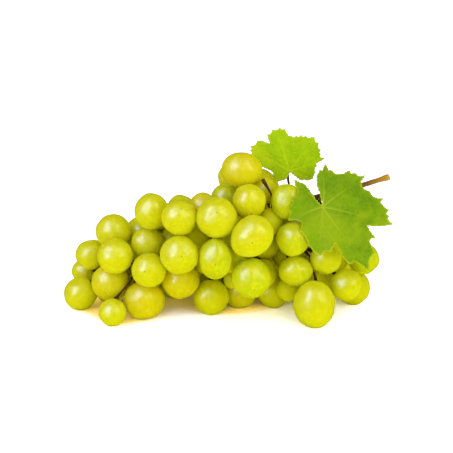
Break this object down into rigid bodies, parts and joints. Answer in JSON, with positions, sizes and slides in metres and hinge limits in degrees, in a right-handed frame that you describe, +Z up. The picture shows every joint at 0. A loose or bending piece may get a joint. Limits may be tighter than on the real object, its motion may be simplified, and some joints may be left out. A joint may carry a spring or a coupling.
{
  "type": "bunch of grapes",
  "caption": "Bunch of white table grapes lying on its side, with its cut stalk and vine leaves.",
  "frame": {"origin": "on the surface the bunch lies on, under the middle of its box", "axes": "+X along the bunch towards the cut end of the stalk, -Y the side with the large leaf, +Z up"},
  "size_m": [0.2002, 0.0892, 0.1082],
  "materials": {
    "grape_skin": "translucent yellow-green skin, satin gloss under a thin bloom",
    "leaf_deep_green": "matte vine leaf, paler veins",
    "leaf_yellow_green": "matte young vine leaf, yellow-green",
    "stem_bark": "thin brown bark, matte"
  },
  "bodies": {
    "root": {"berry_01": "grape_skin", "berry_02": "grape_skin", "berry_03": "grape_skin", "berry_04": "grape_skin", "berry_05": "grape_skin", "berry_06": "grape_skin", "berry_07": "grape_skin", "berry_08": "grape_skin", "berry_09": "grape_skin", "berry_10": "grape_skin", "berry_11": "grape_skin", "berry_12": "grape_skin", "berry_13": "grape_skin", "berry_14": "grape_skin", "berry_15": "grape_skin", "berry_16": "grape_skin", "berry_17": "grape_skin", "berry_18": "grape_skin", "berry_19": "grape_skin", "berry_20": "grape_skin", "berry_21": "grape_skin", "berry_22": "grape_skin", "berry_23": "grape_skin", "berry_24": "grape_skin", "berry_25": "grape_skin", "berry_26": "grape_skin", "berry_27": "grape_skin", "berry_28": "grape_skin", "berry_29": "grape_skin", "berry_30": "grape_skin", "berry_31": "grape_skin", "berry_32": "grape_skin", "berry_33": "grape_skin", "berry_34": "grape_skin", "berry_35": "grape_skin", "berry_36": "grape_skin", "berry_37": "grape_skin", "berry_38": "grape_skin", "berry_39": "grape_skin", "berry_40": "grape_skin", "berry_41": "grape_skin", "berry_42": "grape_skin", "berry_43": "grape_skin", "berry_44": "grape_skin", "berry_45": "grape_skin", "berry_46": "grape_skin", "berry_47": "grape_skin", "berry_48": "grape_skin", "berry_49": "grape_skin", "berry_50": "grape_skin", "berry_51": "grape_skin", "berry_52": "grape_skin", "berry_53": "grape_skin", "berry_54": "grape_skin", "berry_55": "grape_skin", "berry_56": "grape_skin", "berry_57": "grape_skin", "leaf_large": "leaf_deep_green", "leaf_small": "leaf_yellow_green", "stems": "stem_bark"}
  },
  "joints": []
}
